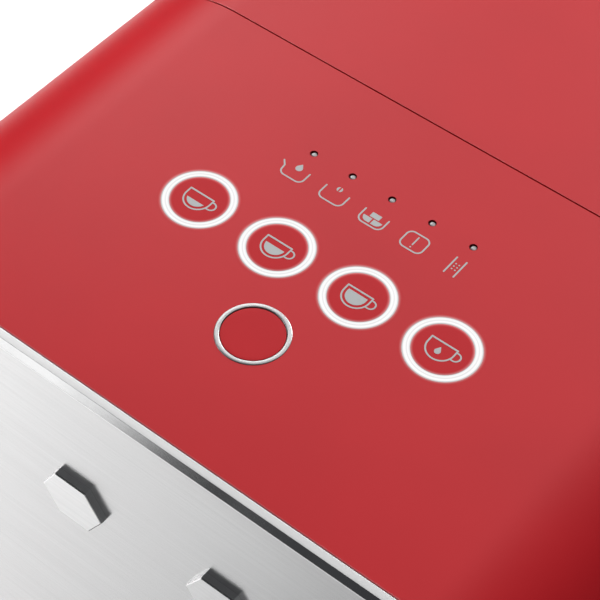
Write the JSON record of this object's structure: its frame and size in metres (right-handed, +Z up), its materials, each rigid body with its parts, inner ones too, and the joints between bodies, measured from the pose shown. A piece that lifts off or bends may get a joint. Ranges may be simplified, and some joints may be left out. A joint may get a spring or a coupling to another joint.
{
  "type": "bean-to-cup espresso machine",
  "caption": "Narrow bean-to-cup espresso machine with a rounded painted case, lit drink buttons, steel head panel, hopper lid, rear tank, sliding spout and drip tray.",
  "frame": {"origin": "on the bench under the centre of the machine's bounding box", "axes": "+Z up, -Y towards the user, +X to the user's right"},
  "size_m": [0.18, 0.433, 0.3383],
  "materials": {
    "shell_red": "matte",
    "button_red": "matte",
    "brushed_steel": "brushed",
    "chrome": "polished",
    "plain_steel": "satin",
    "black_plastic": "fine texture",
    "grey_plastic": "satin",
    "smoked_clear": "clear, smoked",
    "rubber": "matte",
    "board_green": "lacquered",
    "ring_light": "lit, diffusing",
    "lens_grey": "satin",
    "float_red": "gloss",
    "brass": "satin",
    "cast_aluminium": "cast",
    "hose_white": "translucent"
  },
  "bodies": {
    "chassis": {"body_shell": "shell_red", "base_frame": "black_plastic", "rubber_feet": "rubber", "front_panel": "brushed_steel", "badge_studs": "chrome", "recess_panel": "brushed_steel", "head_underside": "black_plastic", "rear_panel": "black_plastic", "bay_wall": "black_plastic", "tank_seat": "black_plastic", "cord_gland": "rubber", "inner_chassis": "grey_plastic", "bean_hopper": "smoked_clear", "hopper_deck": "black_plastic", "lid_hinge_pin": "plain_steel", "control_board": "board_green", "light_rings": "ring_light", "status_lenses": "lens_grey", "power_ring": "chrome", "spout_rails": "plain_steel", "brew_frame": "grey_plastic", "brew_piston": "black_plastic", "piston_seal": "rubber", "brew_motor": "plain_steel", "grinder_housing": "black_plastic", "grinder_motor": "plain_steel", "water_pump": "plain_steel", "flow_meter": "black_plastic", "thermoblock": "cast_aluminium", "power_board": "board_green", "delivery_pipe": "plain_steel", "water_hoses": "hose_white", "case_screws": "plain_steel"},
    "lid": {"hopper_lid": "shell_red", "lid_seal": "rubber"},
    "button_1": {"cup_button_1": "button_red"},
    "button_2": {"cup_button_2": "button_red"},
    "button_3": {"cup_button_3": "button_red"},
    "button_4": {"cup_button_4": "button_red"},
    "power_key": {"power_button": "button_red"},
    "spout": {"spout_body": "black_plastic", "spout_cover": "chrome", "spout_nozzles": "chrome"},
    "tray": {"drip_tray": "black_plastic", "tray_nose": "chrome"},
    "grid": {"drip_grid": "brushed_steel"},
    "float": {"tray_float": "float_red"},
    "grounds": {"grounds_box": "black_plastic", "grounds_front": "brushed_steel"},
    "tank": {"water_tank": "smoked_clear", "tank_lid_pin": "plain_steel", "tank_valve": "rubber"},
    "tank_cap": {"tank_lid": "shell_red"},
    "door": {"service_door": "shell_red"},
    "chamber": {"brew_chamber": "black_plastic"},
    "screw": {"lead_screw": "plain_steel"},
    "pinion": {"motor_pinion": "brass"},
    "burr_ring": {"upper_burr": "plain_steel"},
    "dial": {"grind_dial": "grey_plastic"},
    "burr": {"lower_burr": "plain_steel"}
  },
  "joints": [
    {"name": "hopper_lid_hinge", "type": "hinge", "parent": "chassis", "child": "lid", "pos_m": [0, 0.14, 0.3335], "axis": [-1, 0, 0], "range_deg": [0, 75]},
    {"name": "cup_button_1_press", "type": "slide", "parent": "chassis", "child": "button_1", "axis": [0, 0, -1], "range_m": [0, 0.0012], "stiffness_N_per_m": 900},
    {"name": "cup_button_2_press", "type": "slide", "parent": "chassis", "child": "button_2", "axis": [0, 0, -1], "range_m": [0, 0.0012], "stiffness_N_per_m": 900},
    {"name": "cup_button_3_press", "type": "slide", "parent": "chassis", "child": "button_3", "axis": [0, 0, -1], "range_m": [0, 0.0012], "stiffness_N_per_m": 900},
    {"name": "cup_button_4_press", "type": "slide", "parent": "chassis", "child": "button_4", "axis": [0, 0, -1], "range_m": [0, 0.0012], "stiffness_N_per_m": 900},
    {"name": "power_button_press", "type": "slide", "parent": "chassis", "child": "power_key", "axis": [0, 0, -1], "range_m": [0, 0.0012], "stiffness_N_per_m": 900},
    {"name": "spout_height", "type": "slide", "parent": "chassis", "child": "spout", "axis": [0, 0, -1], "range_m": [0, 0.05]},
    {"name": "tray_pull", "type": "slide", "parent": "chassis", "child": "tray", "axis": [0, -1, 0], "range_m": [0, 0.15]},
    {"name": "grid_lift", "type": "slide", "parent": "tray", "child": "grid", "axis": [0, 0, 1], "range_m": [0, 0.03]},
    {"name": "float_rise", "type": "slide", "parent": "tray", "child": "float", "axis": [0, 0, 1], "range_m": [0, 0.0045]},
    {"name": "grounds_pull", "type": "slide", "parent": "chassis", "child": "grounds", "axis": [0, -1, 0], "range_m": [0, 0.12]},
    {"name": "tank_lift", "type": "slide", "parent": "chassis", "child": "tank", "axis": [0, 0, 1], "range_m": [0, 0.23]},
    {"name": "tank_lid_hinge", "type": "hinge", "parent": "tank", "child": "tank_cap", "pos_m": [0, 0.2142, 0.3163], "axis": [-1, 0, 0], "range_deg": [0, 60]},
    {"name": "door_pull", "type": "slide", "parent": "chassis", "child": "door", "axis": [1, 0, 0], "range_m": [0, 0.06]},
    {"name": "chamber_rise", "type": "slide", "parent": "chassis", "child": "chamber", "axis": [0, 0, 1], "range_m": [0, 0.036]},
    {"name": "screw_turn", "type": "hinge", "parent": "chassis", "child": "screw", "pos_m": [0.047, 0.045, 0.18], "axis": [0, 0, 1], "continuous": true},
    {"name": "pinion_turn", "type": "hinge", "parent": "chassis", "child": "pinion", "pos_m": [0.0185, 0.045, 0.124], "axis": [0, 0, 1], "continuous": true},
    {"name": "burr_ring_turn", "type": "hinge", "parent": "chassis", "child": "burr_ring", "pos_m": [-0.03, 0.022, 0.25], "axis": [0, 0, 1], "range_deg": [-30, 30]},
    {"name": "dial_turn", "type": "hinge", "parent": "chassis", "child": "dial", "pos_m": [-0.03, 0.058, 0.3], "axis": [0, 0, 1], "range_deg": [-114, 114]},
    {"name": "burr_spin", "type": "hinge", "parent": "chassis", "child": "burr", "pos_m": [-0.03, 0.022, 0.22], "axis": [0, 0, 1], "continuous": true}
  ],
  "couplings": [
    {"joint": "screw_turn", "follows": "chamber_rise", "rad_per_m": 523.6},
    {"joint": "pinion_turn", "follows": "chamber_rise", "rad_per_m": -1466.1},
    {"joint": "dial_turn", "follows": "burr_ring_turn", "ratio": -3.8}
  ]
}
